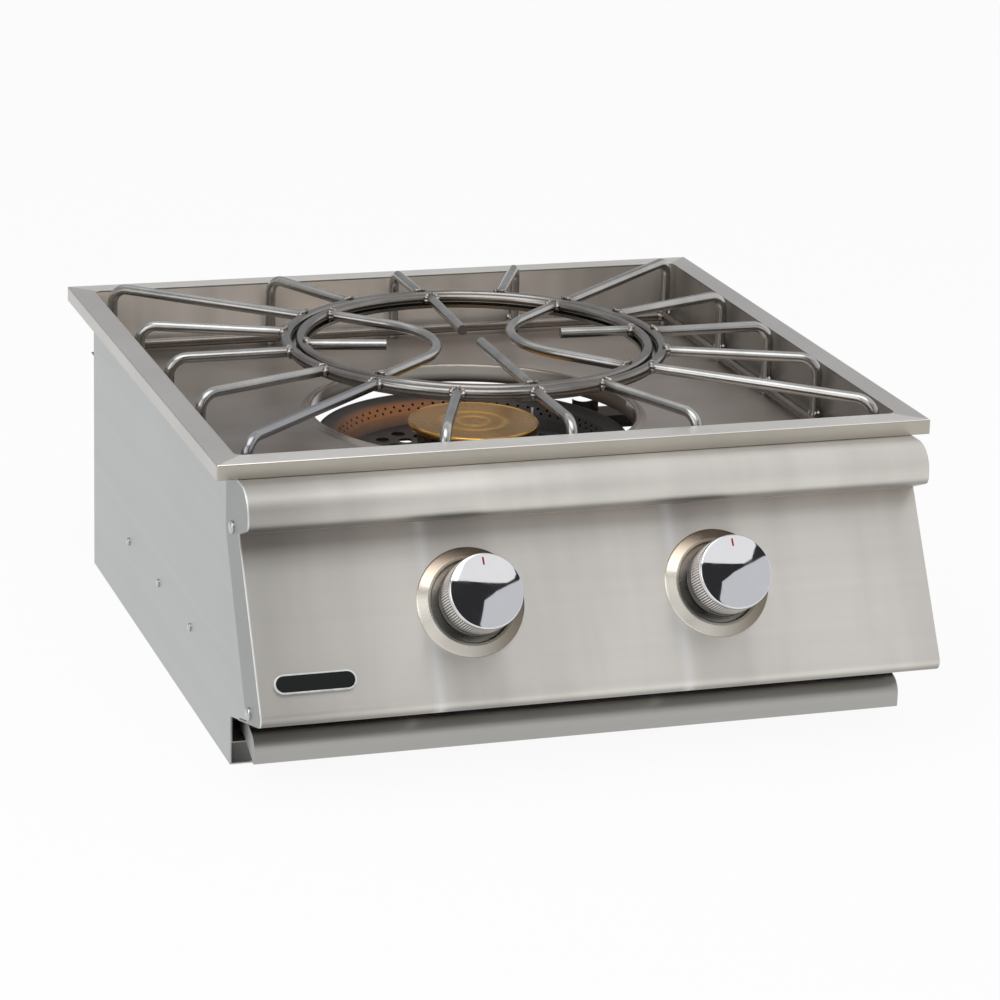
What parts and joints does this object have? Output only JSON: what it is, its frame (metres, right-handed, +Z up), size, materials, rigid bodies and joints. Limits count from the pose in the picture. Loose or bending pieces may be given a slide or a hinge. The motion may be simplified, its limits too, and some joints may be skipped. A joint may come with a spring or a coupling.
{
  "type": "built in side burner",
  "caption": "Drop-in stainless gas side burner with round removable grates, ring and centre burners, two push-and-turn knobs and a slide-out drip tray.",
  "frame": {"origin": "on the ground plane under the middle of the overall box; the unit stands on its base", "axes": "+Z up, the control panel faces -Y, +X to the right seen from the front"},
  "size_m": [0.62, 0.6826, 0.2745],
  "materials": {
    "brushed_stainless": "brushed sheet",
    "stainless_rod": "drawn and polished rod with weld marks",
    "polished_chrome": "mirror",
    "satin_chrome": "satin",
    "brass": "turned, darkened by heat",
    "cast_iron": "heat-proof dark coat",
    "plated_steel": "plated",
    "cast_aluminium": "cast",
    "red_enamel": "gloss",
    "black_enamel": "gloss",
    "white_ceramic": "glazed"
  },
  "bodies": {
    "housing": {"back_panel": "brushed_stainless", "badge_border": "polished_chrome", "badge_inlay": "black_enamel", "basin": "brushed_stainless", "bezel_screws": "plated_steel", "burner_bar_clips": "plated_steel", "burner_base_plate": "plated_steel", "control_panel": "brushed_stainless", "electrode_bracket": "plated_steel", "flange_screws": "plated_steel", "front_burner_bar": "plated_steel", "gas_manifold": "plated_steel", "gas_supply_pipe": "plated_steel", "heat_shield": "plated_steel", "igniter_electrode": "white_ceramic", "inlet_fitting": "brass", "inner_burner_head": "cast_iron", "left_bezel": "brushed_stainless", "left_mixing_tube": "plated_steel", "left_orifice": "brass", "left_return_spring": "plated_steel", "left_side_panel": "brushed_stainless", "left_tray_rail": "plated_steel", "left_valve_body": "cast_aluminium", "manifold_brackets": "plated_steel", "rail_screws": "plated_steel", "rear_burner_bar": "plated_steel", "right_bezel": "brushed_stainless", "right_mixing_tube": "plated_steel", "right_orifice": "brass", "right_return_spring": "plated_steel", "right_side_panel": "brushed_stainless", "right_tray_rail": "plated_steel", "right_valve_body": "cast_aluminium", "ring_burner": "cast_iron", "top_rim": "brushed_stainless"},
    "outer_grate": {"outer_grate_ring": "stainless_rod", "grate_ledge_ring": "stainless_rod", "outer_grate_spokes": "stainless_rod", "outer_grate_frame": "stainless_rod"},
    "inner_grate": {"inner_grate_ring": "stainless_rod", "left_grate_loop": "stainless_rod", "right_grate_loop": "stainless_rod", "inner_grate_prongs": "stainless_rod"},
    "centre_cap": {"burner_cap": "brass"},
    "tray": {"drip_tray": "brushed_stainless", "tray_front": "brushed_stainless"},
    "left_push": {"left_thrust_washer": "plated_steel"},
    "right_push": {"right_thrust_washer": "plated_steel"},
    "left_dial": {"left_knob": "satin_chrome", "left_knob_cap": "polished_chrome", "left_knob_mark": "red_enamel", "left_valve_stem": "plated_steel"},
    "right_dial": {"right_knob": "satin_chrome", "right_knob_cap": "polished_chrome", "right_knob_mark": "red_enamel", "right_valve_stem": "plated_steel"},
    "left_shutter": {"left_air_shutter": "plated_steel"},
    "right_shutter": {"right_air_shutter": "plated_steel"}
  },
  "joints": [
    {"name": "outer_grate_lift", "type": "slide", "parent": "housing", "child": "outer_grate", "axis": [0, 0, 1], "range_m": [0, 0.15]},
    {"name": "inner_grate_lift", "type": "slide", "parent": "outer_grate", "child": "inner_grate", "axis": [0, 0, 1], "range_m": [0, 0.12]},
    {"name": "centre_cap_lift", "type": "slide", "parent": "housing", "child": "centre_cap", "axis": [0, 0, 1], "range_m": [0, 0.04]},
    {"name": "tray_slide", "type": "slide", "parent": "housing", "child": "tray", "axis": [0, -1, 0], "range_m": [0, 0.4]},
    {"name": "left_knob_push", "type": "slide", "parent": "housing", "child": "left_push", "axis": [0, 0.866, -0.5], "range_m": [0, 0.003], "stiffness_N_per_m": 1500, "springref_m": -0.002, "deforming": ["left_return_spring"]},
    {"name": "left_knob_turn", "type": "hinge", "parent": "left_push", "child": "left_dial", "pos_m": [-0.10935, -0.28432, 0.14685], "axis": [0, -0.866, 0.5], "range_deg": [0, 210]},
    {"name": "left_shutter_turn", "type": "hinge", "parent": "housing", "child": "left_shutter", "pos_m": [-0.10935, -0.20318, 0.12685], "axis": [0, 1, 0], "range_deg": [0, 90]},
    {"name": "right_knob_push", "type": "slide", "parent": "housing", "child": "right_push", "axis": [0, 0.866, -0.5], "range_m": [0, 0.003], "stiffness_N_per_m": 1500, "springref_m": -0.002, "deforming": ["right_return_spring"]},
    {"name": "right_knob_turn", "type": "hinge", "parent": "right_push", "child": "right_dial", "pos_m": [0.10435, -0.28432, 0.14685], "axis": [0, -0.866, 0.5], "range_deg": [0, 210]},
    {"name": "right_shutter_turn", "type": "hinge", "parent": "housing", "child": "right_shutter", "pos_m": [0.10435, -0.20318, 0.12685], "axis": [0, 1, 0], "range_deg": [0, 90]}
  ]
}
